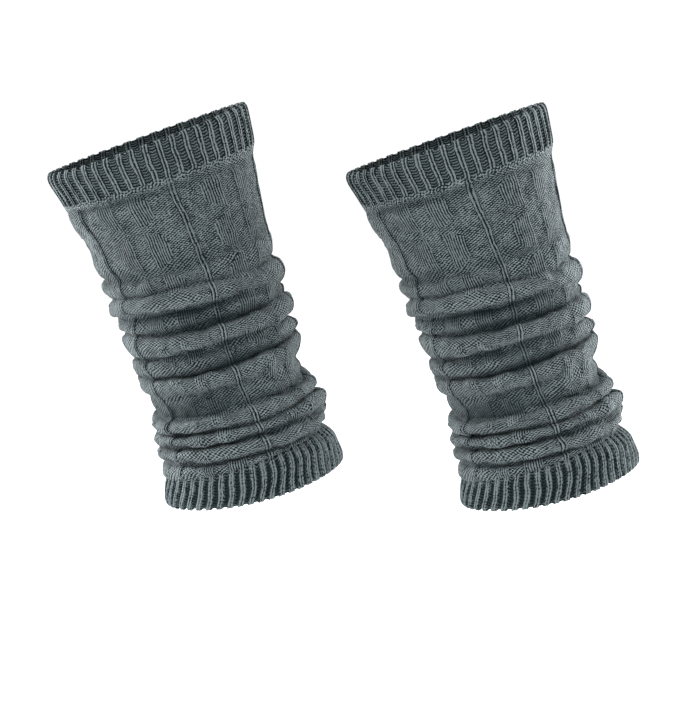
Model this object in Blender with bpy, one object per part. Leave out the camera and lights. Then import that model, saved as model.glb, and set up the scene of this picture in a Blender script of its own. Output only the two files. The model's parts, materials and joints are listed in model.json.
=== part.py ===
"""A pair of slouched knitted leg warmers, in the hollow shape that they have when worn.

Each warmer is one open tube of cloth on a lower leg that leans: a ribbed top cuff round the
calf, a leg that is smooth above and slides down into rolls below, and a ribbed bottom cuff
that hangs over the ankle.  The leg's tube is in three stretches that meet in two of its creases.
Stations run down the leaning leg from the rim of the top cuff.
Metres, +Z up, +X from the left warmer to the right one, +Y away from the viewer.  The origin
is the middle of the left top cuff's opening, where the wearer's calf holds it up.
"""

from collections import namedtuple
import math

import bmesh
import bpy
from mathutils import Matrix, Vector

MM = 0.001

# Driving dimensions
LEAN = math.radians(17.0)              # how far each leg leans in the XZ plane
PAIR_SPACING = 172.0 * MM              # from the left calf to the right calf, along X
FACING_TURN = math.radians(2.5)        # each leg turns its side to the middle of the pair
LEG_WALL = 2.0 * MM                    # plain and purl knit
CUFF_WALL = 2.8 * MM                   # thick narrow rib
SEAM_GAP = 0.3 * MM                    # between one stretch of a warmer and the next
SIDES = 28                             # flats round each tube

# The relaxed outline of one warmer, in millimetres: how far the cloth reaches from the leg's
# axis towards the toe and towards the heel at each station, and its half depth front to back.
Girth = namedtuple("Girth", "station toe heel depth")
OUTLINE = (
    Girth(0, 60.5, 61.4, 56.0),
    Girth(10, 60.6, 60.6, 55.5),
    Girth(20, 57.9, 59.4, 53.5),
    Girth(27, 56.2, 57.0, 52.0),
    Girth(36, 54.8, 55.4, 50.5),
    Girth(52, 50.0, 53.4, 47.5),
    Girth(66, 49.4, 52.0, 46.0),
    Girth(85, 47.2, 50.4, 44.0),
    Girth(104, 46.0, 50.4, 43.5),
    Girth(131, 44.6, 50.2, 42.5),
    Girth(150, 42.4, 47.0, 40.5),
    Girth(162, 44.2, 50.0, 42.0),
    Girth(178, 46.2, 51.8, 44.0),
    Girth(192, 47.8, 52.6, 45.5),
    Girth(204, 51.4, 54.6, 48.0),
    Girth(214, 52.0, 55.2, 49.0),
)

# Edges and seams: the station at four places round the tube, in millimetres
Ring = namedtuple("Ring", "toe front heel back")
TOP_RIM = Ring(4.0, 0.0, -2.4, 1.4)
TOP_SEAM = Ring(26.8, 26.0, 24.6, 25.6)
BOTTOM_SEAM = Ring(193.0, 194.6, 189.4, 192.4)
BOTTOM_HEM = Ring(208.0, 214.4, 212.0, 207.4)
RIM_ROUNDING = 1.6 * MM                # how far the outer edge of a rim draws in

# The stretches of the leg, and the creases in which they meet
LEG_STRETCHES = ("upper_leg", "middle_leg", "lower_leg")
LEG_CUTS = ("crease of the shoulder roll", "crease of the low roll")

# Soft rings of the smooth upper leg, which only follow the outline
UPPER_LEG = (34.0, 44.0, 55.0, 66.0)

# The folds of the slouched leg from the top down, in millimetres, crests and creases by turns:
# the station at four places round the tube, and how far the cloth stands out of the outline.
Fold = namedtuple("Fold", "name toe front heel back out_toe out_front out_heel out_back")
FOLDS = (
    Fold("pinch above the ripple", 73.4, 74.0, 72.4, 73.0, -1.6, -0.3, -0.2, -0.5),
    Fold("ripple", 77.8, 79.2, 78.2, 78.4, 1.2, 0.6, 1.3, 1.0),
    Fold("crease of the shoulder roll", 84.6, 85.6, 85.2, 85.0, -1.3, -1.0, -0.8, -1.0),
    Fold("shoulder roll", 90.4, 92.2, 95.6, 92.6, 2.5, 3.6, 4.6, 3.2),
    Fold("crease of the slim roll", 95.2, 98.6, 101.6, 98.8, -0.4, -2.6, -1.6, -2.0),
    Fold("slim roll", 98.4, 103.0, 105.2, 103.8, 0.6, 1.6, 0.0, 1.6),
    Fold("crease of the upper roll", 103.8, 109.0, 108.4, 108.6, -2.2, -3.4, 0.6, -2.6),
    Fold("upper roll", 110.8, 114.0, 113.2, 113.6, 1.4, 3.2, 3.4, 2.8),
    Fold("crease of the middle roll", 119.4, 122.6, 121.8, 122.0, -2.4, -2.6, -2.7, -2.6),
    Fold("middle roll", 124.8, 127.4, 126.0, 127.0, 1.6, 2.5, 1.7, 2.2),
    Fold("crease of the panel roll", 130.2, 133.6, 130.6, 132.6, -0.2, -2.0, 0.2, -1.4),
    Fold("panel roll", 134.2, 138.0, 136.4, 137.4, 1.4, 2.5, 2.4, 2.4),
    Fold("slack of the panel", 144.0, 149.4, 149.6, 148.4, -2.0, -0.2, -1.4, -0.6),
    Fold("crease of the low roll", 153.4, 158.4, 156.0, 157.4, -1.8, -2.0, -0.4, -1.6),
    Fold("low roll", 160.4, 164.4, 161.4, 163.6, 1.6, 3.0, 2.4, 2.8),
    Fold("crease of the full roll", 165.3, 169.2, 167.0, 168.4, -0.4, -2.2, -0.9, -2.0),
    Fold("full roll", 170.0, 173.4, 172.8, 173.0, 1.7, 2.8, 4.5, 3.2),
    Fold("crease of the last roll", 173.8, 177.4, 177.4, 177.4, 0.0, -2.6, 2.6, -2.0),
    Fold("last roll", 177.6, 181.8, 180.8, 181.8, 0.5, 2.3, 1.4, 2.2),
    Fold("crease of the hem roll", 183.4, 187.2, 185.8, 186.6, -1.4, -2.8, -3.6, -2.6),
    Fold("hem roll", 188.4, 191.4, 187.6, 190.0, 0.4, 1.4, -3.6, 0.8),
)
LONG_STRETCH = 5.5                     # a longer stretch has one more ring halfway
ROUNDNESS = 0.68                       # how much of its outer neighbour that ring has
CUFF_GATHER = Ring(0.0, 0.0, -3.4, -0.4)   # how far the last seam is pulled in

KNIT = (0.079, 0.099, 0.107, 1.0)      # slate grey wool mix, linear
RIB_KNIT = (0.064, 0.082, 0.089, 1.0)  # the same yarn, darker between the ribs
KNIT_ROUGHNESS = 0.95

# A ring of the wall: the station and the reach beyond the outline, each at four places
Course = namedtuple("Course", "station reach")
FLUSH = Ring(0.0, 0.0, 0.0, 0.0)


def round_tube(ring, angle):
    """A value at an angle from the front, swung smoothly through its four places."""
    mean = (ring.toe + ring.front + ring.heel + ring.back) / 4.0
    front_back = (ring.front - ring.back) / 2.0
    heel_toe = (ring.heel - ring.toe) / 2.0
    four_way = (ring.front + ring.back - ring.toe - ring.heel) / 4.0
    return (mean + front_back * math.cos(angle) + heel_toe * math.sin(angle)
            + four_way * math.cos(2.0 * angle))


def mix(low, high, part):
    """Each of a ring's values, part of the way from low to high."""
    return Ring(*(a + (b - a) * part for a, b in zip(low, high)))


def outline_at(station):
    """Toe reach, heel reach and half depth at a station in millimetres, eased between rows."""
    rows = OUTLINE
    station = min(max(station, rows[0].station), rows[-1].station)
    for above, below in zip(rows, rows[1:]):
        if station <= below.station:
            part = (station - above.station) / (below.station - above.station)
            eased = part * part * (3.0 - 2.0 * part)
            part = (part + eased) / 2.0
            return [a + (b - a) * part for a, b in zip(above[1:], below[1:])]
    return list(rows[-1][1:])


def moved(ring, by):
    """A ring's four places, each moved down the leg."""
    return Ring(*(place + by for place in ring))


def fold_course(fold):
    """The ring that a row of the fold table gives."""
    station = Ring(fold.toe, fold.front, fold.heel, fold.back)
    return Course(station, Ring(fold.out_toe, fold.out_front, fold.out_heel, fold.out_back))


def halfway(above, below):
    """A ring between two others that keeps most of the outer one's reach, so a roll is round."""
    part = 1.0 - ROUNDNESS if sum(above.reach) > sum(below.reach) else ROUNDNESS
    return Course(mix(above.station, below.station, 0.5), mix(above.reach, below.reach, part))


def leg_courses():
    """The rings of the leg: its smooth upper part, then the folds down to the last seam."""
    gap = SEAM_GAP / MM / 2.0
    courses = [Course(moved(TOP_SEAM, gap), FLUSH)]
    courses += [Course(Ring(station, station, station, station), FLUSH) for station in UPPER_LEG]
    for fold in FOLDS:
        below = fold_course(fold)
        above = courses[-1]
        stretch = (sum(below.station) - sum(above.station)) / len(below.station)
        if above.reach != FLUSH and stretch > LONG_STRETCH:
            courses.append(halfway(above, below))
        courses.append(below)
    courses.append(Course(moved(BOTTOM_SEAM, -gap), CUFF_GATHER))
    return courses


def leg_stretches():
    """The leg's rings by stretch; the ring of a cut ends one stretch and starts the next."""
    gap = SEAM_GAP / MM / 2.0
    cuts = [fold_course(fold) for fold in FOLDS if fold.name in LEG_CUTS]
    stretches = [[]]
    for course in leg_courses():
        if course in cuts:
            stretches[-1].append(Course(moved(course.station, -gap), course.reach))
            stretches.append([Course(moved(course.station, gap), course.reach)])
        else:
            stretches[-1].append(course)
    return stretches


def cuff_courses(first, last, rim_first):
    """The rings of a cuff, from its seam to its free rim, which draws in a little."""
    gap = SEAM_GAP / MM / 2.0
    drawn_in = Ring(*(-RIM_ROUNDING / MM for _ in first))
    if rim_first:
        last = moved(last, -gap)
        parts = (0.0, 0.12, 0.55, 1.0)
        reaches = (drawn_in, FLUSH, FLUSH, FLUSH)
    else:
        first = moved(first, gap)
        parts = (0.0, 0.3, 0.85, 1.0)
        reaches = (CUFF_GATHER, FLUSH, FLUSH, drawn_in)
    return [Course(mix(first, last, part), reach) for part, reach in zip(parts, reaches)]


def cloth_point(course, angle, inset):
    """A point of the wall, in the frame of one upright-facing warmer whose calf is at zero."""
    station = round_tube(course.station, angle)
    toe, heel, depth = outline_at(station)
    beyond = round_tube(course.reach, angle) - inset
    along = math.sin(angle)
    across = (heel - toe) / 2.0 + ((heel + toe) / 2.0 + beyond) * along
    away = -(depth + beyond) * math.cos(angle)
    down = Vector((math.sin(LEAN), 0.0, -math.cos(LEAN)))
    heelward = Vector((math.cos(LEAN), 0.0, math.sin(LEAN)))
    return (down * station + heelward * across + Vector((0.0, away, 0.0))) * MM


def build_tube(name, courses, wall, place, material):
    """One closed wall of cloth: its section is spun into a tube, then each point is shaped."""
    bm = bmesh.new()
    outer = [bm.verts.new((2.0, 0.0, -index)) for index in range(len(courses))]
    inner = [bm.verts.new((1.0, 0.0, -index)) for index in range(len(courses))]
    section = outer + inner[::-1]
    edges = [bm.edges.new((a, b)) for a, b in zip(section, section[1:] + section[:1])]
    bmesh.ops.spin(bm, geom=section + edges, cent=(0.0, 0.0, 0.0), axis=(0.0, 0.0, 1.0),
                   angle=2.0 * math.pi, steps=SIDES, use_merge=True)
    for vert in bm.verts:
        angle = math.atan2(vert.co.x, -vert.co.y)
        course = courses[round(-vert.co.z)]
        is_inner = math.hypot(vert.co.x, vert.co.y) < 1.5
        vert.co = cloth_point(course, angle, wall / MM if is_inner else 0.0)
    bmesh.ops.recalc_face_normals(bm, faces=bm.faces)
    bmesh.ops.transform(bm, matrix=place, verts=bm.verts)
    mesh = bpy.data.meshes.new(name)
    bm.to_mesh(mesh)
    bm.free()
    mesh.shade_smooth()
    mesh.materials.append(material)
    tube = bpy.data.objects.new(name, mesh)
    bpy.context.scene.collection.objects.link(tube)
    return tube


def knit_material(name, colour):
    """A soft matt yarn."""
    material = bpy.data.materials.new(name)
    material.use_nodes = True
    shader = material.node_tree.nodes["Principled BSDF"]
    shader.inputs["Base Color"].default_value = colour
    shader.inputs["Metallic"].default_value = 0.0
    shader.inputs["Roughness"].default_value = KNIT_ROUGHNESS
    return material


def build_warmer(side, place):
    """Top cuff, the stretches of the leg and bottom cuff of one warmer."""
    cuffs = {
        "top_cuff": cuff_courses(TOP_RIM, TOP_SEAM, True),
        "bottom_cuff": cuff_courses(BOTTOM_SEAM, BOTTOM_HEM, False),
    }
    for piece, courses in cuffs.items():
        name = f"{side}_{piece}"
        build_tube(name, courses, CUFF_WALL, place, knit_material(name, RIB_KNIT))
    for piece, courses in zip(LEG_STRETCHES, leg_stretches()):
        name = f"{side}_{piece}"
        build_tube(name, courses, LEG_WALL, place, knit_material(name, KNIT))


def main():
    for old in list(bpy.data.objects):
        bpy.data.objects.remove(old, do_unlink=True)
    left = Matrix.Rotation(FACING_TURN, 4, "Z")
    right = Matrix.Translation((PAIR_SPACING, 0.0, 0.0)) @ Matrix.Rotation(-FACING_TURN, 4, "Z")
    build_warmer("left", left)
    build_warmer("right", right)


main()
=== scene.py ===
"""Finish of a pair of slouched knitted leg warmers in slate grey yarn.

Every piece is a thin shell on the form of its CAD solids: the ribs of the cuffs, the side ribs,
the raised blocks and the rolls are modelled, and the single stitches are left to the yarn.
Stations run down the leaning leg from the rim of the top cuff, in millimetres.  Angles run round
it from the front, towards the heel.
"""

from collections import namedtuple
import json
import math

import bmesh
import bpy
from mathutils import Matrix, Vector
import numpy as np


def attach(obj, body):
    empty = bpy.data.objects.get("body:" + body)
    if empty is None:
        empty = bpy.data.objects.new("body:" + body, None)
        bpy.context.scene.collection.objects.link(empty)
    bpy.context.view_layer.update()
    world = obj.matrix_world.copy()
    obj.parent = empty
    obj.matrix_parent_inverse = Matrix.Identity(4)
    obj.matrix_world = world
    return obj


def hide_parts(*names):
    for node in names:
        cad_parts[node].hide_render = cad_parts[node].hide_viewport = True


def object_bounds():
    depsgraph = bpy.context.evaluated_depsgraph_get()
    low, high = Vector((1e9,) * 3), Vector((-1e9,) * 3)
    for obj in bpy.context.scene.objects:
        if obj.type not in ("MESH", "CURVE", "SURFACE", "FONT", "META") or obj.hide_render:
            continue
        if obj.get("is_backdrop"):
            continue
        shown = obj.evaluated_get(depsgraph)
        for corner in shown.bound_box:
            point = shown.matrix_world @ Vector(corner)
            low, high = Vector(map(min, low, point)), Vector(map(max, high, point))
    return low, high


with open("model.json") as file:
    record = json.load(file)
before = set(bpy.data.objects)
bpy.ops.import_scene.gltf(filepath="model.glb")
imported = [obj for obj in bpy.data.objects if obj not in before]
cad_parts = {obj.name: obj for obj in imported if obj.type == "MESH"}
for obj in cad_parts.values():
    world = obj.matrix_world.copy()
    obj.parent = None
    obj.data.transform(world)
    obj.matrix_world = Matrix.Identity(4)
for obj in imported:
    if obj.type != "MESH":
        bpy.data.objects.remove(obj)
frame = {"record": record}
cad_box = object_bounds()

MM = 0.001
TURN = 2.0 * math.pi

# ------------------------------------------------------------- the warmer's driving dimensions
LEAN = math.radians(17.0)               # each leg leans in the XZ plane
FACING_TURN = math.radians(2.5)         # and turns its side to the middle of the pair

WALES_ROUND = 200                       # columns of stitches round a warmer
PANELS_ROUND = 5                        # each with a side rib at its middle
PANEL_WALES = WALES_ROUND // PANELS_ROUND
RIB_WALES = 4                           # a cuff's rib: two plain stitches, two purl
LEG_COURSE = 1.36                       # height of a row of stitches, mm
CUFF_COURSE = 1.75
OPENED = 0.22                           # share by which a roll opens its rows of stitches
OPENING_REACHES = (-1.0, 2.5)           # as its cloth reaches out so far, mm

# How far the cloth reaches from the leg's axis to toe and heel side, and its half depth
Girth = namedtuple("Girth", "station toe heel depth")
OUTLINE = (
    Girth(-6, 60.3, 61.6, 56.0),
    Girth(2, 60.5, 61.2, 56.0),
    Girth(10, 60.6, 60.6, 55.5),
    Girth(20, 57.9, 59.4, 53.5),
    Girth(27, 56.2, 57.0, 52.0),
    Girth(36, 54.8, 55.4, 50.5),
    Girth(52, 50.0, 53.4, 47.5),
    Girth(66, 49.4, 52.0, 46.0),
    Girth(85, 47.2, 50.4, 44.0),
    Girth(104, 46.0, 50.4, 43.5),
    Girth(131, 44.6, 50.2, 42.5),
    Girth(150, 42.4, 47.0, 40.5),
    Girth(162, 44.2, 50.0, 42.0),
    Girth(178, 46.2, 51.8, 44.0),
    Girth(192, 47.8, 52.6, 45.5),
    Girth(204, 51.4, 54.6, 48.0),
    Girth(214, 52.0, 55.2, 49.0),
    Girth(222, 52.4, 55.6, 49.4),
)

# Edges and seams, as the station at six places round the tube
Ring = namedtuple("Ring", "toe toe_front front heel_front heel back")
PLACES = np.radians((-90.0, -45.0, 0.0, 45.0, 90.0, 180.0))
TOP_RIM = Ring(3.8, 3.6, 2.0, -0.7, -2.2, 1.4)
TOP_SEAM = Ring(26.8, 26.7, 26.0, 25.1, 24.6, 25.6)
BOTTOM_SEAM = Ring(193.0, 194.4, 194.6, 191.9, 189.4, 192.4)
BOTTOM_HEM = Ring(208.0, 211.8, 216.0, 215.2, 212.0, 207.4)
FLUSH = np.zeros(6)
WELT_NECK = Ring(-0.6, -0.8, -0.9, -0.7, -0.5, -0.9)    # drawn in just under the top cuff
CUFF_GATHER = Ring(-0.6, -0.8, -1.2, -2.4, -3.8, -1.2)  # and where the bottom cuff starts
NECK_STATION = 29.0
TOP_DRAWN_IN = np.full(6, -0.9)         # the free edge of the top cuff
HEM_DRAWN_IN = np.full(6, -0.7)         # and of the bottom cuff
TOP_CUFF_RINGS = (0.0, 0.1, 0.4, 0.7, 1.0)              # where a cuff's rings of cloth lie in it
BOTTOM_CUFF_RINGS = (0.0, 0.3, 0.6, 0.88, 1.0)
UPPER_LEG = (34.0, 44.0, 55.0, 65.0)    # the smooth top keeps to the outline at these stations

# The slouched leg from the top down, crests and creases by turns: the station at the six
# places, how far the cloth stands out of the outline there, and, for a crest, the share of its
# reach that it keeps at its edge: a roll is full, the slack between two rolls is not
Fold = namedtuple("Fold", "stations reaches fullness", defaults=(0.72,))
FOLDS = (
    Fold(Ring(73.4, 76.4, 75.2, 74.6, 72.4, 73.0), Ring(-2.6, -1.2, -1.0, -0.6, -0.6, -0.6)),
    Fold(Ring(77.8, 80.0, 80.2, 81.0, 78.6, 78.4), Ring(1.2, 0.3, 0.3, 0.6, 1.2, 0.9)),
    Fold(Ring(84.0, 84.5, 87.0, 88.6, 87.0, 85.4), Ring(-1.8, -1.8, -1.6, 0.0, -2.2, -1.4)),
    Fold(Ring(91.4, 90.4, 91.8, 94.8, 96.2, 92.4), Ring(3.2, 4.4, 4.4, 4.0, 3.9, 3.6)),
    Fold(Ring(95.6, 95.4, 98.3, 100.4, 101.8, 98.4), Ring(-1.4, -4.6, -4.1, 0.6, -2.0, -3.4)),
    Fold(Ring(100.0, 104.0, 105.4, 104.6, 105.6, 104.2), Ring(1.4, 0.2, -0.9, 0.4, -0.1, -0.4),
         0.4),
    Fold(Ring(103.9, 108.3, 111.6, 111.4, 109.2, 109.4), Ring(-3.0, -2.6, -5.6, -2.2, -0.8, -3.6)),
    Fold(Ring(110.8, 113.6, 116.2, 116.4, 113.6, 114.6), Ring(1.1, 3.4, 3.8, 3.6, 2.4, 3.2)),
    Fold(Ring(119.6, 122.2, 122.4, 122.8, 121.8, 121.8), Ring(-3.0, -3.4, -2.6, 0.0, -4.2, -2.8)),
    Fold(Ring(121.8, 124.2, 126.4, 125.0, 124.2, 124.6), Ring(-1.0, -1.2, -1.8, 0.0, -1.4, -1.4),
         0.4),
    Fold(Ring(126.2, 127.6, 130.4, 129.4, 127.0, 128.4), Ring(1.9, 1.3, -1.0, 0.4, 1.4, 1.0),
         0.5),
    Fold(Ring(130.4, 135.2, 137.7, 135.2, 132.0, 134.0), Ring(-1.2, -3.8, -4.6, -2.6, -1.2, -3.6)),
    Fold(Ring(135.4, 139.0, 139.8, 139.0, 136.6, 138.2), Ring(1.9, 2.6, 2.8, 2.6, 2.0, 2.5)),
    Fold(Ring(144.0, 145.0, 147.5, 147.6, 145.4, 146.4), Ring(-2.0, -0.4, -0.9, 1.2, -2.6, -0.6),
         0.5),
    Fold(Ring(149.2, 152.5, 154.0, 155.0, 151.2, 152.0), Ring(-0.7, -2.0, -0.9, 0.6, -1.8, -1.2),
         0.5),
    Fold(Ring(154.6, 161.0, 161.2, 162.8, 157.2, 159.0), Ring(-2.8, -3.6, -2.6, -5.0, -2.2, -3.2)),
    Fold(Ring(160.4, 163.6, 166.0, 167.0, 161.8, 164.0), Ring(1.7, 3.2, 3.6, 3.2, 2.3, 3.2)),
    Fold(Ring(165.3, 168.4, 171.8, 169.8, 168.2, 169.4), Ring(-3.4, -6.6, -3.4, -1.2, -4.8, -3.2)),
    Fold(Ring(169.6, 172.0, 175.0, 174.0, 172.8, 173.0), Ring(2.0, 2.8, 2.6, 2.8, 4.4, 3.0)),
    Fold(Ring(173.8, 175.7, 178.9, 179.0, 177.6, 177.4), Ring(-1.8, -6.2, -6.6, -2.8, 2.2, -3.6)),
    Fold(Ring(174.8, 177.0, 180.6, 182.0, 179.4, 179.2), Ring(-0.8, -3.0, -1.2, 0.2, 1.6, -1.2),
         0.4),
    Fold(Ring(178.0, 180.4, 183.6, 184.8, 182.0, 182.6), Ring(1.1, 2.6, 3.2, 3.4, -1.2, 2.4)),
    Fold(Ring(183.6, 185.2, 189.6, 189.4, 187.2, 188.0), Ring(-2.8, -6.4, -5.8, -1.2, -4.8, -3.8)),
    Fold(Ring(188.4, 190.4, 192.5, 190.8, 188.4, 190.8), Ring(1.0, 1.6, 0.2, -1.6, -3.9, 0.0)),
)
EDGE_AT = 0.62                          # a roll's edge is this far from its crest to the crease
WANDER = 0.5                            # how far a fold strays up and down as it goes round
UNEVEN = 0.35                           # and in and out

# Waves round the tube: how many there are, how far they turn from one ring of the cloth to the
# next, their height and their start
Wave = namedtuple("Wave", "count turn height start")
WANDER_WAVES = (
    Wave(3.0, 1.05, 1.0, 0.0),
    Wave(5.0, -0.8, 0.7, 1.0),
    Wave(9.0, 1.7, 0.6, 0.0),
    Wave(14.0, -2.1, 0.4, 0.0),
)
UNEVEN_WAVES = (
    Wave(4.0, 0.9, 1.0, 2.0),
    Wave(7.0, -1.3, 0.8, 0.0),
    Wave(12.0, 1.5, 0.6, 1.0),
)
KNOB_WAVES = (
    Wave(61.0, 0.0, 0.3, 0.0),
    Wave(97.0, 0.0, 0.2, 1.0),
)

# Angle of the front side rib, in degrees, as the knit twists down the leg
Twist = namedtuple("Twist", "station degrees")
FRONT_RIB = (
    Twist(0, 6.6),
    Twist(29, 7.0),
    Twist(58, 9.4),
    Twist(81, 12.2),
    Twist(107, 10.0),
    Twist(125, 8.4),
    Twist(142, 10.2),
    Twist(172, 13.2),
    Twist(194, 14.8),
    Twist(214, 8.0),
)

# Where the stitches are drawn together round the tube: by what share, and at what angle
Bunching = namedtuple("Bunching", "share angle")
LEG_BUNCHING = Bunching(0.082, math.radians(-65.0))
TOP_BUNCHING = Bunching(0.06, math.radians(-65.0))
BOTTOM_BUNCHING = Bunching(0.15, math.radians(45.0))

# Walls of the visible shells and what stands on them, mm
LEG_WALL = 1.4
CUFF_WALL = 1.5
SIDE_RIB = 0.95                         # height of a side rib
BLOCK = 0.65                            # height of a raised block
PUCKER = 0.45                           # and of the dents between
LEG_WELT = 0.2                          # height of the leg's first stitches, knobbed as well
LEG_WELT_STARTS = (0.0, 0.5)            # how far below the seam they begin
LEG_WELT_ENDS = (2.0, 1.0)              # and end
SEAM_STEP = 0.05                        # half the hairline between a cuff and the leg

# The side ribs, in stitches and courses
RIB_SPREAD = 0.35                       # share by which its two stitches stand further apart
RIB_SPREAD_OVER = 1.6
RIB_STITCHES = 0.52                     # each of the two is this far from the rib's middle
RIB_STITCH_WIDTH = 0.5
RIB_HALF_WIDTH = 1.1
RIB_SLACKENS = 0.3                      # share of its height that the slouched cloth loses
FRONT_RIB_REACH = 0.06                  # the front one runs through the welt over this angle
SLOUCHED = (30.0, 50.0)                 # courses over which the smooth leg turns slouched
SEAM_FADE = 2.2                         # courses over which the relief dies out at a seam

# How dark the cloth is painted where shade falls, 1 being the painted shade of a deep crease
CREASE_SHADE_REACHES = (1.4, -4.4)            # a crease's painted shade deepens as the cloth's reach goes down so far
ROLL_REACHES = (0.4, 2.2)               # a roll opens its stitches as the reach goes up so far
FOOT_PAINTED_SHADE = 0.5                        # painted shade at the foot of a side rib, towards the heel
FOOT_BY_TOE = 0.4                       # share of it towards the toe
FOOT_AT = 1.6                           # stitches from the rib's middle
FOOT_WIDTH = 0.32
FOOT_FADES = 0.85                       # share of it that the slouched cloth loses
EDGE_PAINTED_SHADE = 0.6                        # painted shade beside a block
EDGE_SPREAD = 1.6
NECK_PAINTED_SHADOW = Ring(0.4, 0.65, 0.45, 0.2, 0.2, 0.6)       # painted shadow in the neck under the top cuff
NECK_COURSE = 3.4                       # courses below the seam where that neck lies
NECK_COURSES = 1.7                      # and that it reaches up and down
GATHER_OPENS = 0.5                      # share of its painted shade that a crease loses in the open bottom gather
GATHER_ABOVE = (7.0, 3.0)               # mm above the bottom cuff over which it loses it

# The raised blocks of the leg, in stitches from the nearest side rib and in courses
BLOCK_REPEAT = 17.1
BLOCK_COURSES = 14.6
BLOCK_START = 1.8
BLOCK_POINT = 9.0                       # its stepped edge comes nearest the side rib here
BLOCK_OUTER = 17.0                      # and its straight edge is here
ROLL_NARROWS = 3.6                      # stitches that a roll hides of a block's pointed side
ROLL_BLURS = 0.35                       # share by which it opens the rest
COURSE_RISE = 1.65                      # courses by which the toe side's rows sit higher

# A cuff's ribs: how many there are, their height, half a rib's width in stitches and how much
# wider it gets at the heel, the groove between its two stitches, how far its end stands over
# the free edge, the painted shade in the gaps, how plainly its two stitches stand apart, and the
# angle by which it sways on its way down
CuffRib = namedtuple("CuffRib", "count height half_width widening groove tip gloom apart sway")
TOP_RIB = CuffRib(46, 1.4, 1.12, 0.0, 0.32, 0.25, 0.5, 1.0, 0.0)
BOTTOM_RIB = CuffRib(48, 2.0, 1.2, 0.12, 0.2, 0.3, 1.25, 0.68, 0.024)
RIB_FLANK = 0.42                        # width of a rib's flank, in stitches
RIB_GROOVE = 0.3                        # and of the groove between its two stitches
PLAIN_FROM = 0.45                       # share of a rib's height where its plain stitches start
CUFF_SURFACE = 0.8                      # share of a rib's height that lies inside the outline
LINING_FLATTER = 0.4                    # and that the lining loses
NEAR_SEAM = 3.0                         # a rib grows to its full height over so many mm
SEAM_HEIGHT = 0.45                      # from this share of it at the seam
NEAR_EDGE = 2.5                         # mm from the free edge that its end starts to stand out
SWAY_DOWN = 5.0                         # radians that a rib sways through on its way down
SWAY_SHIFT = 1.4                        # and that this shifts to and fro round the cuff
SWAY_ROUND = 3.0                        # so many times
GAP_HEIGHT = 1.08                       # a gap's painted shade is counted down from this height, so a rib's top gets a little
EDGE_LIT = 0.5                          # share of that painted shade that a free edge loses
EDGE_LIT_OVER = 0.9                     # over so many mm

# The welt: the top cuff's gaps close in it just above the leg, in an uneven line, mm
WELT = 0.7                              # share of a rib's height that it has
WELT_KNOB = 0.3                         # and by how much its knobs stand higher
WELT_DEPTH = 1.6                        # how deep it is at the middle of a rib
WELT_SCALLOP = 0.5                      # deeper by this for each stitch from there
WELT_UNEVEN = 1.1                       # and by up to this at its knobs
WELT_EDGE = (-1.0, 0.8)                 # its soft upper edge
WELT_HOLE_SHADE = 0.4                        # painted shade of the holes along that edge
HOLES_AT = 0.3
HOLES_WIDTH = 0.45

# The bottom cuff's gaps take their painted shade below the leg, in an uneven line as well, mm
RIBS_START = (3.6, 0.2)                 # where their painted shade is full, and where it begins
RIBS_START_UNEVEN = 1.4
RIBS_START_LIT = 0.6                    # share of their painted shade that they lack before

LEG_ROWS = 176
LEG_LINING_ROWS = 40
LEG_RIM_ROWS = 1
CUFF_ROWS = 42
CUFF_LINING_ROWS = 16
CUFF_RIM_ROWS = 3
CUFF_COLUMNS_PER_RIB = 16
COLUMNS_ON_SIDE_RIB = 14
SIDE_RIB_ZONE = 1.75                    # stitches either side that are drawn finely
GROUND_STEP = 0.5                       # stitches from column to column elsewhere
MEASURED_AROUND = 48                    # the cloth's length is measured along so many lines
MEASURED_DOWN = 900                     # and at so many places down them
TABLE_STEPS = 24                        # fine rows for each row of a table
SMALL_STEP = 0.02                       # places and radians over which a slope is measured
GRID_REACH = 2.0                        # a grid is rolled up this far from its axis
JOIN_WITHIN = 1e-4


# ------------------------------------------------------------------------- the cloth's form
def smooth(low, high, value):
    """0 below low, 1 above high, with a soft step between."""
    part = np.clip((value - low) / (high - low), 0.0, 1.0)
    return part * part * (3.0 - 2.0 * part)


def swings(angle):
    """The slow waves round the tube that six places settle."""
    return np.stack([np.ones_like(angle), np.cos(angle), np.sin(angle), np.cos(2.0 * angle),
                     np.sin(2.0 * angle), np.cos(3.0 * angle)], axis=-1)


FROM_PLACES = np.linalg.inv(swings(PLACES))


def around(rings, angle):
    """Values swung smoothly through their six places: a row for each ring."""
    waves = np.asarray(rings) @ FROM_PLACES.T
    return (waves[:, None, :] * swings(angle)).sum(axis=-1)


def through(knots, place):
    """A smooth curve through rows of knots, read at places that count them from zero."""
    last = len(knots) - 1
    start = np.clip(np.floor(place).astype(int), 0, last - 1)
    part = (place - start)[:, None]
    before, here, after, beyond = (knots[np.clip(start + step, 0, last)] for step in (-1, 0, 1, 2))
    return 0.5 * (2.0 * here + (after - before) * part
                  + (2.0 * before - 5.0 * here + 4.0 * after - beyond) * part ** 2
                  + (3.0 * here - before - 3.0 * after + beyond) * part ** 3)


def smooth_table(rows):
    """A table read on a fine even grid, with no kink at its rows."""
    return through(np.array(rows, float), np.linspace(0.0, len(rows) - 1.0, len(rows) * TABLE_STEPS))


GIRTHS = smooth_table(OUTLINE)
TWISTS = smooth_table(FRONT_RIB)


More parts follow.
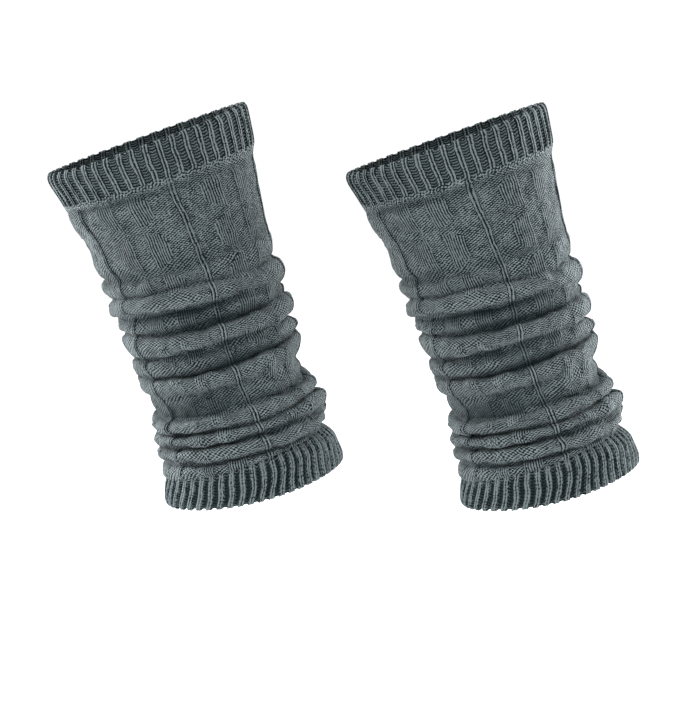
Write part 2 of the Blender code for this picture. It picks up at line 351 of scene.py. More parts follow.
def leg_knots():
    """Rings that the leg's cloth runs through, from seam to seam: stations, reaches, wander."""
    stations = [np.array(TOP_SEAM) + SEAM_STEP, np.full(6, NECK_STATION)]
    reaches = [FLUSH, np.array(WELT_NECK)]
    wander = [0.0, 0.0]
    fullness_above = 0.0
    for station in UPPER_LEG:
        stations.append(np.full(6, station))
        reaches.append(FLUSH)
        wander.append(UNEVEN)
    for fold in FOLDS:
        station, reach = np.array(fold.stations), np.array(fold.reaches)
        falls = reach < reaches[-1]
        part = np.where(falls, EDGE_AT, 1.0 - EDGE_AT)
        kept = np.where(falls, fullness_above, 1.0 - fold.fullness)
        stations.append(stations[-1] * (1.0 - part) + station * part)
        reaches.append(reaches[-1] * kept + reach * (1.0 - kept))
        stations.append(station)
        reaches.append(reach)
        wander += [1.0, 1.0]
        fullness_above = fold.fullness
    stations.append(np.array(BOTTOM_SEAM) - SEAM_STEP)
    reaches.append(np.array(CUFF_GATHER))
    wander.append(0.0)
    return np.array(stations), np.array(reaches), np.array(wander)


def cuff_knots(first, last, free_edge, wall):
    """Rings of a cuff from top to bottom; its free edge is rounded and draws in a little."""
    first, last = np.array(first), np.array(last)
    if free_edge == "top":
        parts = TOP_CUFF_RINGS
        reaches = (TOP_DRAWN_IN, FLUSH, FLUSH, FLUSH, FLUSH)
        first, last = first + wall / 2.0, last - SEAM_STEP
    else:
        parts = BOTTOM_CUFF_RINGS
        reaches = (CUFF_GATHER, FLUSH, FLUSH, FLUSH, HEM_DRAWN_IN)
        first, last = first + SEAM_STEP, last - wall / 2.0
    stations = np.array([first + (last - first) * part for part in parts])
    return stations, np.array(reaches, float), np.zeros(len(parts))


def wale_angle(wales, wales_round, bunching):
    """Angle of a column of stitches from the front side rib, drawn together on one side."""
    even = wales * TURN / wales_round
    return even - bunching.share * (np.sin(even - bunching.angle) + math.sin(bunching.angle))


def waves(table, angle, phase):
    """The waves of a table, added up."""
    return sum(wave.height * np.sin(wave.count * angle + wave.turn * phase + wave.start)
               for wave in table)


def cloth_points(knots, place, bearing):
    """Points of the bare cloth at places down it and bearings from the front side rib."""
    stations, reaches, wander = knots
    down = through(stations, place).mean(axis=1)
    angle = np.radians(np.interp(down, TWISTS[:, 0], TWISTS[:, 1]))[:, None] + bearing
    amount = through(wander[:, None], place)
    phase = place[:, None]
    stray = waves(WANDER_WAVES, angle, phase)
    swell = waves(UNEVEN_WAVES, angle, phase)
    station = around(through(stations, place), angle) + WANDER * amount * stray
    reach = around(through(reaches, place), angle) + UNEVEN * amount * swell
    toe, heel, depth = (np.interp(station, GIRTHS[:, 0], GIRTHS[:, column]) for column in (1, 2, 3))
    across = (heel - toe) / 2.0 + ((heel + toe) / 2.0 + reach) * np.sin(angle)
    away = -(depth + reach) * np.cos(angle)
    x = math.sin(LEAN) * station + math.cos(LEAN) * across
    z = -math.cos(LEAN) * station + math.sin(LEAN) * across
    return np.stack([x, away, z], axis=-1)


def unit(vectors):
    """The same directions, one long."""
    return vectors / np.maximum(np.linalg.norm(vectors, axis=-1, keepdims=True), 1e-9)


def even_places(knots, rows, opened=0.0):
    """Places spaced evenly along the cloth, and the length of cloth above each, in mm. Rolls
    open the stitches out, so their length counts for less by the share opened."""
    bearing = np.linspace(0.0, TURN, MEASURED_AROUND, endpoint=False)
    fine = np.linspace(0.0, len(knots[0]) - 1.0, MEASURED_DOWN)
    points = cloth_points(knots, fine, bearing)
    steps = np.linalg.norm(np.diff(points, axis=0), axis=-1).mean(axis=1)
    length = np.concatenate([[0.0], np.cumsum(steps)])
    on_roll = smooth(*OPENING_REACHES, through(knots[1], fine).mean(axis=1))[1:]
    knitted = np.concatenate([[0.0], np.cumsum(steps * (1.0 - opened * on_roll))])
    places = np.interp(np.linspace(0.0, length[-1], rows), length, fine)
    return places, np.interp(places, fine, knitted)


# ------------------------------------------------------------------------- knitted relief
def in_panel(wales):
    """Stitches from the nearest side rib, negative towards the toe."""
    return np.mod(wales + PANEL_WALES / 2.0, PANEL_WALES) - PANEL_WALES / 2.0


def in_rib(wales):
    """Stitches from the middle of the nearest cuff rib."""
    return np.mod(wales + RIB_WALES / 2.0, RIB_WALES) - RIB_WALES / 2.0


def side_rib(off):
    """Height of a side rib, 0 to 1: two rounded stitches with a groove between."""
    return np.exp(-((np.abs(off) - RIB_STITCHES) / RIB_STITCH_WIDTH) ** 2)


def block_chart(off, courses, on_roll):
    """1 on the raised plain stitches of the leg's blocks, 0 on its purl ground. A block points
    towards the side rib, and a roll hides its point."""
    off = np.abs(off)[None, :]
    row = np.mod(courses - BLOCK_START, BLOCK_REPEAT)
    middle = BLOCK_COURSES / 2.0
    from_middle = np.abs(row - middle) / middle
    stepped = np.floor(BLOCK_POINT + (BLOCK_OUTER - BLOCK_POINT) * from_middle ** 3)
    block = (row < BLOCK_COURSES) & (off < BLOCK_OUTER) & (off - ROLL_NARROWS * on_roll > stepped)
    return (block & (courses > BLOCK_START)).astype(float)


def soften(chart, reach):
    """A chart blurred round the tube by a few columns."""
    rolled = [np.roll(chart, shift, axis=1) for shift in range(-reach, reach + 1)]
    return sum(rolled) / len(rolled)


def cuff_rib(off, bearing, rib):
    """Height of a cuff across a rib, 0 in the gap and 1 on the rib."""
    off = np.abs(off)
    half_width = rib.half_width * (1.0 + rib.widening * np.sin(bearing))
    ridge = 1.0 - smooth(half_width - RIB_FLANK / 2.0, half_width + RIB_FLANK / 2.0, off)
    return ridge * (1.0 - rib.groove * np.exp(-(off / RIB_GROOVE) ** 2))


def knobs(bearing):
    """The uneven knobs round a welt, 0 to 1."""
    return 0.5 + waves(KNOB_WAVES, bearing, 0.0)


# ------------------------------------------------------------------------------ shells
Section = namedtuple("Section", "place depth edge")
Knit = namedtuple("Knit", "wales bearing courses wales_round")


def shell_section(outer, lining, rim_rows):
    """Down the outside, round the lower edge, up the lining and round the upper edge."""
    turn = np.linspace(0.0, 1.0, rim_rows + 2)[1:-1]
    bottom, top = np.full(rim_rows, outer[-1]), np.full(rim_rows, outer[0])
    swing = (1.0 - np.cos(turn * math.pi)) / 2.0
    bulge = np.sin(turn * math.pi)
    place = np.concatenate([outer, bottom, lining[::-1], top])
    depth = np.concatenate([np.zeros(len(outer)), swing, np.ones(len(lining)), swing[::-1]])
    edge = np.concatenate([np.zeros(len(outer)), bulge, np.zeros(len(lining)), -bulge])
    return Section(place, depth, edge)


def rolled_tube(name, rows, columns):
    """A closed ring of rows by columns: a grid rolled up both ways and joined at its edges."""
    bm = bmesh.new()
    bmesh.ops.create_grid(bm, x_segments=columns, y_segments=rows, size=0.5)
    mesh = bpy.data.meshes.new(name)
    bm.to_mesh(mesh)
    bm.free()
    spots = np.empty(len(mesh.vertices) * 3, np.float32)
    mesh.vertices.foreach_get("co", spots)
    turn, tilt = (spots.reshape(-1, 3)[:, :2].T + 0.5) * TURN
    reach = GRID_REACH + np.cos(tilt)
    rolled = np.stack([reach * np.cos(turn), reach * np.sin(turn), np.sin(tilt)], axis=1)
    mesh.vertices.foreach_set("co", rolled.astype(np.float32).ravel())
    bm = bmesh.new()
    bm.from_mesh(mesh)
    rim = [vertex for vertex in bm.verts if vertex.is_boundary]
    bmesh.ops.remove_doubles(bm, verts=rim, dist=JOIN_WITHIN)
    bm.to_mesh(mesh)
    bm.free()
    return mesh


def rows_and_columns(mesh, rows, columns):
    """Which row and column of the rolled grid each vertex is."""
    spots = np.empty(len(mesh.vertices) * 3, np.float32)
    mesh.vertices.foreach_get("co", spots)
    x, y, z = spots.reshape(-1, 3).T
    turn = np.arctan2(y, x) / TURN
    tilt = np.arctan2(z, np.hypot(x, y) - GRID_REACH) / TURN
    return np.rint(tilt * rows).astype(int) % rows, np.rint(turn * columns).astype(int) % columns


def turn_faces_out(mesh):
    """Makes the faces of a closed shell point out of it."""
    bm = bmesh.new()
    bm.from_mesh(mesh)
    bmesh.ops.recalc_face_normals(bm, faces=bm.faces)
    bm.to_mesh(mesh)
    bm.free()


def map_stitches(mesh, across, down, wales_round):
    """The mesh's own map: stitches round the warmer by rows of stitches down it."""
    corner = np.empty(len(mesh.loops), np.int32)
    mesh.loops.foreach_get("vertex_index", corner)
    starts = np.empty(len(mesh.polygons), np.int32)
    mesh.polygons.foreach_get("loop_start", starts)
    across, down = across[corner], down[corner]
    highest = np.maximum.reduceat(across, starts)
    highest = np.repeat(highest, np.diff(np.append(starts, len(corner))))
    across = np.where(highest - across > wales_round / 2.0, across + wales_round, across)
    layer = mesh.uv_layers.new(name="stitches")
    layer.uv.foreach_set("vector", np.stack([across, down], axis=1).astype(np.float32).ravel())


def shell_mesh(name, knots, section, knit, wall, relief, tip, marks):
    """A closed shell of cloth at the mount. relief is the knit's height and tip how far it
    reaches down past its edge, in mm; marks are numbers on the cloth that the yarn reads."""
    mesh = rolled_tube(name, len(section.place), len(knit.wales))
    row, column = rows_and_columns(mesh, len(section.place), len(knit.wales))
    middle = cloth_points(knots, section.place, knit.bearing)
    down = (cloth_points(knots, section.place + SMALL_STEP, knit.bearing)
            - cloth_points(knots, section.place - SMALL_STEP, knit.bearing))
    onward = (cloth_points(knots, section.place, knit.bearing + SMALL_STEP)
              - cloth_points(knots, section.place, knit.bearing - SMALL_STEP))
    out = unit(np.cross(down, onward))
    from_axis = middle - middle.mean(axis=1, keepdims=True)
    out *= np.sign((out * from_axis).sum(axis=-1).mean())
    points = middle + out * (relief - section.depth[:, None] * wall)[..., None]
    points += unit(down) * ((section.edge * wall / 2.0)[:, None] + tip)[..., None]
    mesh.vertices.foreach_set("co", (points[row, column] * MM).astype(np.float32).ravel())
    mesh.update()
    turn_faces_out(mesh)
    courses = np.broadcast_to(knit.courses, relief.shape)
    map_stitches(mesh, knit.wales[column], courses[row, column], knit.wales_round)
    for mark, values in marks.items():
        values = np.broadcast_to(values, relief.shape)[row, column]
        layer = mesh.attributes.new(mark, "FLOAT", "POINT")
        layer.data.foreach_set("value", values.astype(np.float32))
    mesh.shade_smooth()
    return mesh


def leg_wales():
    """Stitch positions of the leg's columns: close together on a side rib, wider elsewhere."""
    rib = np.linspace(-SIDE_RIB_ZONE, SIDE_RIB_ZONE, COLUMNS_ON_SIDE_RIB, endpoint=False)
    ground = np.arange(SIDE_RIB_ZONE, PANEL_WALES - SIDE_RIB_ZONE, GROUND_STEP)
    panel = np.concatenate([rib, ground])
    return np.concatenate([panel + PANEL_WALES * count for count in range(PANELS_ROUND)])


def fold_and_roll(knots, place, bearing):
    """How deep the cloth lies in a crease, which sets its painted shade, and how fully on a roll,
    each 0 to 1.
    """
    reach = around(through(knots[1], place), bearing)
    return smooth(*CREASE_SHADE_REACHES, reach), smooth(*ROLL_REACHES, reach)


def puckers(wales, courses):
    """Soft dents and swellings that the pattern draws into the leg, about -1 to 1."""
    turn = (wales * TURN / WALES_ROUND)[None, :]
    sway = 1.3 * np.sin(3.0 * turn + 0.21 * courses)
    return (0.45 * np.sin(13.0 * turn + 0.48 * courses + sway)
            + 0.35 * np.sin(22.0 * turn - 0.61 * courses + 1.0)
            + 0.3 * np.sin(31.0 * turn + 0.37 * courses - sway))


def leg_painted_shade(courses, off, bearing, chart, fold):
    """Painted shade on the leg: in its creases, beside ribs and blocks, and in its neck under the
    top cuff.
    """
    foot = (np.exp(-((off - FOOT_AT) / FOOT_WIDTH) ** 2)
            + FOOT_BY_TOE * np.exp(-((off + FOOT_AT) / FOOT_WIDTH) ** 2))
    foot = foot[None, :] * (1.0 - FOOT_FADES * smooth(*SLOUCHED, courses))
    edge = np.clip(soften(chart, 2) * EDGE_SPREAD, 0.0, 1.0) * (1.0 - chart)
    neck = np.exp(-((courses - NECK_COURSE) / NECK_COURSES) ** 2) * around([NECK_PAINTED_SHADOW], bearing)
    above_cuff = (courses.max() - courses) * LEG_COURSE
    # the painted shade of a crease is lighter in the open gather just above the bottom cuff
    fold = fold * (1.0 - GATHER_OPENS * smooth(*GATHER_ABOVE, above_cuff))
    return np.maximum.reduce([foot * FOOT_PAINTED_SHADE, edge * EDGE_PAINTED_SHADE, neck, fold])


def leg_relief(wales, courses, off, bearing, chart):
    """How far the leg's knit stands out, in mm."""
    ends = smooth(0.0, SEAM_FADE, np.minimum(courses, courses.max() - courses))
    through_welt = np.exp(-(bearing / FRONT_RIB_REACH) ** 2)[None, :]
    rib_height = SIDE_RIB * (1.0 - RIB_SLACKENS * smooth(*SLOUCHED, courses))
    relief = side_rib(off)[None, :] * rib_height * np.maximum(ends, through_welt)
    return relief + (soften(chart, 1) * BLOCK + puckers(wales, courses) * PUCKER) * ends


def leg_mesh():
    """The patterned leg, with its rolls."""
    knots = leg_knots()
    outer, length = even_places(knots, LEG_ROWS, OPENED)
    lining, _ = even_places(knots, LEG_LINING_ROWS)
    section = shell_section(outer, lining, LEG_RIM_ROWS)
    wales = leg_wales()
    off = in_panel(wales)
    spread = wales + RIB_SPREAD * off * np.exp(-(off / RIB_SPREAD_OVER) ** 2)
    bearing = wale_angle(spread, WALES_ROUND, LEG_BUNCHING)
    below_seam = np.interp(section.place, outer, length)[:, None]
    courses = below_seam / LEG_COURSE
    fold, on_roll = fold_and_roll(knots, section.place, bearing)
    chart = block_chart(off, courses - COURSE_RISE * np.sin(bearing)[None, :], on_roll)
    in_welt = smooth(*LEG_WELT_STARTS, below_seam) * smooth(*LEG_WELT_ENDS, below_seam)
    relief = leg_relief(wales, courses, off, bearing, chart) + LEG_WELT * in_welt
    relief = relief * (1.0 - section.depth[:, None])
    on_rib = (np.abs(off) < RIB_HALF_WIDTH).astype(float)[None, :]
    marks = {
        "plain": np.maximum(chart * (1.0 - ROLL_BLURS * on_roll), on_rib),
        # painted shade in creases, beside ribs and blocks and in the neck under the top cuff
        "gloom": leg_painted_shade(courses, off, bearing, chart, fold),
        "open": on_roll,
        "apart": 1.0,
        "welt": in_welt,
    }
    knit = Knit(wales, bearing, courses, WALES_ROUND)
    return shell_mesh("knitted_leg", knots, section, knit, LEG_WALL, relief, 0.0, marks)


def cuff_painted_shade(height, from_seam, from_edge, bearing, scallop, top, rib):
    """Painted shade of a cuff in the gaps between its ribs, and in the holes along the top cuff's
    welt.
    """
    if top:
        hole = np.exp(-((from_seam - scallop - HOLES_AT) / HOLES_WIDTH) ** 2)
        depth = rib.gloom + WELT_HOLE_SHADE * hole
    else:
        uneven = RIBS_START_UNEVEN * knobs(bearing)[None, :]
        depth = rib.gloom * (1.0 - RIBS_START_LIT * smooth(*RIBS_START, from_seam - uneven))
    edge = 1.0 - EDGE_LIT * np.exp(-(from_edge / EDGE_LIT_OVER) ** 2)
    return np.minimum((GAP_HEIGHT - height) * depth * edge, 1.0)


def cuff_mesh(name, first, last, free_edge, rib, bunching):
    """A ribbed cuff. The top one's gaps close in a scalloped welt where it meets the leg."""
    knots = cuff_knots(first, last, free_edge, CUFF_WALL)
    outer, length = even_places(knots, CUFF_ROWS)
    lining, _ = even_places(knots, CUFF_LINING_ROWS)
    section = shell_section(outer, lining, CUFF_RIM_ROWS)
    wales_round = rib.count * RIB_WALES
    wales = np.arange(rib.count * CUFF_COLUMNS_PER_RIB) * RIB_WALES / CUFF_COLUMNS_PER_RIB
    bearing = wale_angle(wales, wales_round, bunching)
    down = np.interp(section.place, outer, length)[:, None]
    off = in_rib(wales)
    top = free_edge == "top"
    from_seam, from_edge = (length[-1] - down, down) if top else (down, length[-1] - down)

    knobbed = knobs(bearing)
    scallop = (WELT_DEPTH + WELT_SCALLOP * np.abs(off) + WELT_UNEVEN * knobbed)[None, :]
    welt = (1.0 - smooth(*WELT_EDGE, from_seam - scallop)) if top else 0.0 * from_seam
    welt = welt * (1.0 - np.exp(-(bearing / FRONT_RIB_REACH) ** 2))[None, :]
    ridge = cuff_rib(off, bearing, rib)[None, :] * (1.0 - welt)
    height = ridge + (WELT + WELT_KNOB * knobbed[None, :]) * welt
    grown = SEAM_HEIGHT + (1.0 - SEAM_HEIGHT) * smooth(0.0, NEAR_SEAM, from_seam)
    relief = (height - CUFF_SURFACE) * rib.height * grown
    relief = relief * (1.0 - LINING_FLATTER * section.depth[:, None])
    tip = ridge * rib.tip * (1.0 - smooth(0.0, NEAR_EDGE, from_edge)) * (-1.0 if top else 1.0)
    marks = {
        "plain": (ridge > PLAIN_FROM).astype(float),
        # painted shade in the gaps between the ribs
        "gloom": cuff_painted_shade(height, from_seam, from_edge, bearing, scallop, top, rib),
        "open": 0.0,
        "apart": rib.apart,
        "welt": welt,
    }
    part = down / length[-1]
    sway = rib.sway * np.sin(SWAY_DOWN * part + SWAY_SHIFT * np.sin(SWAY_ROUND * bearing)) * part
    knit = Knit(wales, bearing + sway, down / CUFF_COURSE, wales_round)
    return shell_mesh(name, knots, section, knit, CUFF_WALL, relief, tip, marks)


# ----------------------------------------------------------------------------- materials
def linear(hex_colour):
    """An sRGB hex colour as linear RGBA."""
    channels = [int(hex_colour[start:start + 2], 16) / 255.0 for start in (1, 3, 5)]
    return [c / 12.92 if c <= 0.04045 else ((c + 0.055) / 1.055) ** 2.4 for c in channels] + [1.0]


def add(tree, kind, settings, inputs, output=0):
    """Adds a node with its settings, fills or links its inputs, and gives one of its outputs."""
    node = tree.nodes.new("ShaderNode" + kind)
    for name, value in settings.items():
        setattr(node, name, value)
    for name, value in inputs.items():
        if isinstance(value, bpy.types.NodeSocket):
            tree.links.new(value, node.inputs[name])
        else:
            node.inputs[name].default_value = value
    return node.outputs[output]


# Settings that many nodes share
TIMES = {"operation": "MULTIPLY"}
PLUS = {"operation": "ADD"}
MINUS = {"operation": "SUBTRACT"}
TIMES_PLUS = {"operation": "MULTIPLY_ADD"}
BLEND = {"data_type": "FLOAT"}
BLEND_COLOUR = {"data_type": "RGBA"}

# The yarn's patterns, as so many to a metre
PULLS = 130.0                           # 7.7 mm wide patches where the stitches are pulled askew
FLECKS = 900.0                          # 1.1 mm for fibres of 0.2 mm, coarser so that they show
PULL_SHIFT = (0.9, 0.9, 0.0)            # stitches and courses that a pull goes to and fro
NOISE_MIDDLE = (0.5, 0.5, 0.5)

# The height of the stitches, 0 in a gap and 1 on top. A Line starts at a value and slopes up
# with a mark or a pattern
Line = namedtuple("Line", "slope start")
STITCH_DEPTH = 0.6                      # how deep the gaps between the stitches look, mm
LINK = Line(0.4, 0.6)                   # a plain column is thickest at each of its stitches
COLUMN_GAP = 0.12                       # and this high in the gaps beside it
CROSSED = Line(0.07, 0.43)              # share of falling rows in the purl ground, up on a roll
SWELL = Line(0.45, 1.2)                 # a roll opens its purl rows: they stand out more
SINK = Line(-0.2, -0.14)                # with deeper gaps
KNOB = Line(1.3, -0.15)                 # the knobs of a welt
KNOB_SLANT = 0.9                        # and how steeply they lean across
KNOB_LEAN = 0.35                        # and down

# Its colours and what they go by
# dark of the gaps between the stitches: partly their own open holes, partly painted shade
GAP_HOLE_AND_SHADE_COLOUR = "#020f12"
TOP_COLOUR = "#768184"
# near black of the painted shade in creases, gaps, beside ribs and blocks and under the top cuff
PAINTED_SHADE_COLOUR = "#00191d"
GAP_TONE = 0.32                         # the gap's colour up to this height
TOP_TONE = 0.68                         # and the top's from here
FLECK_TONE = Line(1.6, -0.8)            # height that fibres seem to add or take
PATCH_TONE = 0.5                        # and patches of the yarn
PLAIN_TONE = Line(-0.18, 1.18)          # purl stitches are this much paler than plain ones
PAINTED_SHADE_SHARE = 0.92                           # share of its colour that the painted shade of a deep crease replaces

# What a piece's mesh tells its yarn, each 0 to 1: plain or purl stitches, the painted shade of a
# crease, opened rows, how plainly a rib's stitches stand apart, and a knobbly welt
MARKS = ("plain", "gloom", "open", "apart", "welt")


def stripes(tree, phase):
    """Light and dark stripes, 0 to 1, one for each step of the phase."""
    angle = add(tree, "Math", TIMES, {0: phase, 1: TURN})
    wave = add(tree, "Math", {"operation": "COSINE"}, {0: angle})
    return add(tree, "Math", TIMES_PLUS, {0: wave, 1: 0.5, 2: 0.5})


def stitch_height(tree, stitch, marks, rise, fall, sag):
    """Height of the stitches: plain ones stand in upright columns with dark gaps between them,
    purl ones in rows that rise and fall by so many courses a stitch, or sag between ribs, and a
    welt's in slanting knobs."""
    wale = add(tree, "SeparateXYZ", {}, {0: stitch}, "X")
    course = add(tree, "SeparateXYZ", {}, {0: stitch}, "Y")

    column = stripes(tree, add(tree, "Math", PLUS, {0: wale, 1: 0.5}))
    column = add(tree, "Mix", BLEND, {0: marks["apart"], 2: 1.0, 3: column})
    link = add(tree, "Math", TIMES_PLUS, {0: stripes(tree, course), 1: LINK.slope, 2: LINK.start})
    plain = add(tree, "Math", TIMES_PLUS, {0: column, 1: link, 2: COLUMN_GAP})

    from_rib = add(tree, "Math", {"operation": "PINGPONG"}, {0: wale, 1: RIB_WALES / 2.0})
    hung = add(tree, "Math", TIMES_PLUS, {0: from_rib, 1: -sag, 2: course})
    rising = stripes(tree, add(tree, "Math", TIMES_PLUS, {0: wale, 1: rise, 2: hung}))
    falling = stripes(tree, add(tree, "Math", TIMES_PLUS, {0: wale, 1: fall, 2: hung}))
    crossed, swell, sink = (
        add(tree, "Math", TIMES_PLUS, {0: marks["open"], 1: line.slope, 2: line.start})
        for line in (CROSSED, SWELL, SINK))
    purl = add(tree, "Mix", BLEND, {0: crossed, 2: rising, 3: falling})
    purl = add(tree, "Math", TIMES_PLUS, {0: purl, 1: swell, 2: sink})

    lean = add(tree, "Math", TIMES, {0: course, 1: KNOB_LEAN})
    slant = stripes(tree, add(tree, "Math", TIMES_PLUS, {0: wale, 1: KNOB_SLANT, 2: lean}))
    knob = add(tree, "Mix", BLEND, {0: 0.5, 2: slant, 3: falling})
    knob = add(tree, "Math", TIMES_PLUS, {0: knob, 1: KNOB.slope, 2: KNOB.start})

    height = add(tree, "Mix", BLEND, {0: marks["plain"], 2: purl, 3: plain})
    return add(tree, "Mix", BLEND, {0: marks["welt"], 2: height, 3: knob})


def yarn(name, rise, fall, sag):
    """Slate grey wool-mix yarn, spun and knitted."""
    # Wool drinks the light: no shine, only a faint fuzz where the cloth turns away.  Its stitches
    # stand out pale from dark gaps, whose dark is partly painted shade, with paler fibres among
    # them.
    material = bpy.data.materials.new(name)
    material.use_nodes = True
    tree = material.node_tree
    shader = tree.nodes["Principled BSDF"]
    spot = add(tree, "TexCoord", {}, {}, "Object")
    pull = add(tree, "TexNoise", {}, {"Vector": spot, "Scale": PULLS, "Detail": 1.0}, "Color")
    pull = add(tree, "VectorMath", MINUS, {0: pull, 1: NOISE_MIDDLE})
    askew = add(tree, "VectorMath", TIMES, {0: pull, 1: PULL_SHIFT})
    flat = add(tree, "UVMap", {"uv_map": "stitches"}, {})
    stitch = add(tree, "VectorMath", PLUS, {0: flat, 1: askew})
    marks = {mark: add(tree, "Attribute", {"attribute_name": mark}, {}, "Fac") for mark in MARKS}
    height = stitch_height(tree, stitch, marks, rise, fall, sag)

    fleck = add(tree, "TexNoise", {}, {"Vector": spot, "Scale": FLECKS, "Detail": 2.0}, "Fac")
    patch = add(tree, "SeparateXYZ", {}, {0: pull}, "Z")
    tone = add(tree, "Math", TIMES_PLUS, {0: fleck, 1: FLECK_TONE.slope, 2: FLECK_TONE.start})
    tone = add(tree, "Math", TIMES_PLUS, {0: patch, 1: PATCH_TONE, 2: tone})
    tone = add(tree, "Math", PLUS, {0: height, 1: tone})
    tone = add(tree, "MapRange", {"interpolation_type": "SMOOTHSTEP"},
               {0: tone, 1: GAP_TONE, 2: TOP_TONE})
    colour = add(tree, "Mix", BLEND_COLOUR,
                 {0: tone, 6: linear(GAP_HOLE_AND_SHADE_COLOUR), 7: linear(TOP_COLOUR)}, 2)
    paler = add(tree, "Math", TIMES_PLUS,
                {0: marks["plain"], 1: PLAIN_TONE.slope, 2: PLAIN_TONE.start})
    colour = add(tree, "VectorMath", {"operation": "SCALE"}, {0: colour, 3: paler})
    # painted shade: the mark darkens the yarn towards that near black
    shade_share = add(tree, "Math", TIMES, {0: marks["gloom"], 1: PAINTED_SHADE_SHARE})
    colour = add(tree, "Mix", BLEND_COLOUR, {0: shade_share, 6: colour, 7: linear(PAINTED_SHADE_COLOUR)}, 2)
    tree.links.new(colour, shader.inputs["Base Color"])
    bump = add(tree, "Bump", {},
               {"Strength": 1.0, "Distance": STITCH_DEPTH * MM, "Height": height})
    tree.links.new(bump, shader.inputs["Normal"])
    shader.inputs["Roughness"].default_value = 0.92
    shader.inputs["Specular IOR Level"].default_value = 0.12
    shader.inputs["Sheen Weight"].default_value = 0.12
    shader.inputs["Sheen Roughness"].default_value = 0.5
    return material


# -------------------------------------------------------------------------- the studio
PICTURE_WIDTH = 680
PICTURE_HEIGHT = 715
MM_PER_PIXEL = 0.58
ORIGIN_PIXEL = (146.5, 138.0)
CAMERA_DISTANCE = 2.0
CAMERA_DOWN = math.radians(6.5)
SENSOR = 36.0
FLOOR_BELOW_HEM = 0.112
FLOOR_HALF = 60.0                       # so wide that no edge of it shows

# Lights: a softbox's place from the middle of the pair, in metres, and its power, in watts
Softbox = namedtuple("Softbox", "name place power")
SOFTBOXES = (
    Softbox("left_softbox", (-1.5, 0.9, 0.4), 58.0),
    Softbox("right_softbox", (1.5, 0.9, 0.3), 54.0),
)
SOFTBOX_SIZE = 0.8
OVERHEAD_POWER = 2.2
OVERHEAD_SPREAD = math.radians(45.0)
OVERHEAD_TOWARDS = (0.25, 0.45, -1.0)
SURROUND_POWER = 0.55


def set_camera():
    """A long lens, a little above the warmers and square to the pair."""
    scale = MM_PER_PIXEL * MM
    aim = Vector(((PICTURE_WIDTH / 2.0 - ORIGIN_PIXEL[0]) * scale, 0.0,
                  -(PICTURE_HEIGHT / 2.0 - ORIGIN_PIXEL[1]) * scale / math.cos(CAMERA_DOWN)))
    back = Vector((0.0, -math.cos(CAMERA_DOWN), math.sin(CAMERA_DOWN)))
    lens = bpy.data.cameras.new("studio_camera")
    lens.sensor_width = SENSOR
    lens.lens = CAMERA_DISTANCE / scale * SENSOR / PICTURE_HEIGHT
    camera = bpy.data.objects.new("studio_camera", lens)
    camera.location = aim + back * CAMERA_DISTANCE
    camera.rotation_euler = (math.pi / 2.0 - CAMERA_DOWN, 0.0, 0.0)
    bpy.context.scene.collection.objects.link(camera)
    bpy.context.scene.camera = camera


def set_lamp(light, place, towards):
    """Hangs a light at a place, so that it shines one way."""
    lamp = bpy.data.objects.new(light.name, light)
    lamp.location = place
    lamp.rotation_euler = towards.to_track_quat("-Z", "Y").to_euler()
    bpy.context.scene.collection.objects.link(lamp)


def set_studio():
    """A plain pale floor under soft light from above and from both sides."""
    bm = bmesh.new()
    bmesh.ops.create_grid(bm, x_segments=1, y_segments=1, size=FLOOR_HALF)
    bmesh.ops.translate(bm, verts=bm.verts, vec=(0.0, 0.0, cad_box[0][2] - FLOOR_BELOW_HEM))
    mesh = bpy.data.meshes.new("floor")
    bm.to_mesh(mesh)
    bm.free()
    floor = bpy.data.objects.new("floor", mesh)
    bpy.context.scene.collection.objects.link(floor)
    # Matt white emulsion: an even pale ground without any gloss
    paint = bpy.data.materials.new("matt_white_paint")
    paint.use_nodes = True
    shader = paint.node_tree.nodes["Principled BSDF"]
    shader.inputs["Base Color"].default_value = linear("#fafbfb")
    shader.inputs["Roughness"].default_value = 0.8
    mesh.materials.append(paint)
    floor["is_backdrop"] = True

    world = bpy.data.worlds.new("studio")
    world.use_nodes = True
    world.node_tree.nodes["Background"].inputs["Color"].default_value = linear("#fcfdfd")
    world.node_tree.nodes["Background"].inputs["Strength"].default_value = SURROUND_POWER
    bpy.context.scene.world = world
    bpy.context.scene.view_settings.view_transform = "Standard"

    middle = (Vector(cad_box[0]) + Vector(cad_box[1])) / 2.0
    for softbox in SOFTBOXES:
        light = bpy.data.lights.new(softbox.name, "AREA")
        light.shape = "SQUARE"
        light.size = SOFTBOX_SIZE
        light.energy = softbox.power
        place = middle + Vector(softbox.place)
        set_lamp(light, place, middle - place)
    overhead = bpy.data.lights.new("overhead_light", "SUN")
    overhead.energy = OVERHEAD_POWER
    overhead.angle = OVERHEAD_SPREAD
    set_lamp(overhead, Vector(), Vector(OVERHEAD_TOWARDS))


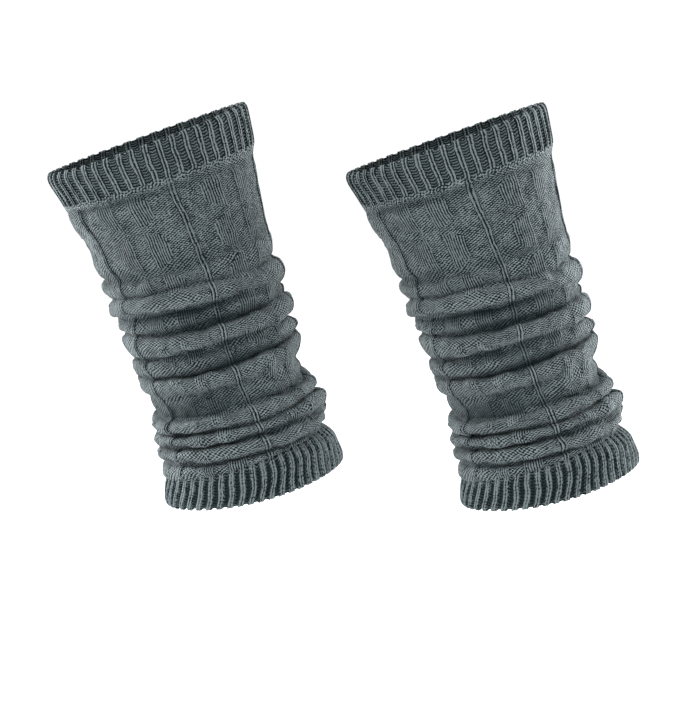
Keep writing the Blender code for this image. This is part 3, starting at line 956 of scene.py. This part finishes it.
# ---------------------------------------------------------------------- the pair of warmers
# What each kind of piece replaces, its flat cut size in metres, how it is held and its slot
Kind = namedtuple("Kind", "nodes flat held slot")
KINDS = {
    "knitted_leg": Kind(("upper_leg", "middle_leg", "lower_leg"), (0.30, 0.24), "gathered",
                        "pattern_knit"),
    "ribbed_top_cuff": Kind(("top_cuff",), (0.276, 0.030), "stretched", "rib_knit"),
    "ribbed_bottom_cuff": Kind(("bottom_cuff",), (0.288, 0.025), "stretched", "rib_knit"),
}


def build_warmer(side, place, meshes, yarns):
    """The three knitted stretches of one warmer, put round its calf."""
    for kind, source in meshes.items():
        mesh = source.copy()
        mesh.transform(place)
        mesh.materials.append(yarns[kind])
        piece = bpy.data.objects.new(f"{side}_{kind}", mesh)
        bpy.context.scene.collection.objects.link(piece)
        facts = KINDS[kind]
        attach(piece, "root")
        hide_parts(*(f"{side}_{node}" for node in facts.nodes))


def main():
    meshes = {
        "knitted_leg": leg_mesh(),
        "ribbed_top_cuff": cuff_mesh("ribbed_top_cuff", TOP_RIM, TOP_SEAM, "top", TOP_RIB,
                                     TOP_BUNCHING),
        "ribbed_bottom_cuff": cuff_mesh("ribbed_bottom_cuff", BOTTOM_SEAM, BOTTOM_HEM, "bottom",
                                        BOTTOM_RIB, BOTTOM_BUNCHING),
    }
    leg_yarn = yarn("patterned_wool_mix_knit", rise=0.46, fall=-0.6, sag=0.0)
    cuff_yarn = yarn("ribbed_wool_mix_knit", rise=0.0, fall=0.0, sag=0.4)
    yarns = {kind: leg_yarn if kind == "knitted_leg" else cuff_yarn for kind in meshes}
    mounts = {mount["name"]: Vector(mount["pos_m"]) for mount in frame["record"]["mounts"]}
    left = Matrix.Translation(mounts["left_calf"]) @ Matrix.Rotation(FACING_TURN, 4, "Z")
    right = Matrix.Translation(mounts["right_calf"]) @ Matrix.Rotation(-FACING_TURN, 4, "Z")
    build_warmer("left", left, meshes, yarns)
    build_warmer("right", right, meshes, yarns)
    for mesh in meshes.values():
        bpy.data.meshes.remove(mesh)
    set_camera()
    set_studio()
    sizes = {"cad": cad_box, "visual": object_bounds()}
    sizes = {name: [[float(value) for value in corner] for corner in box]
             for name, box in sizes.items()}


main()
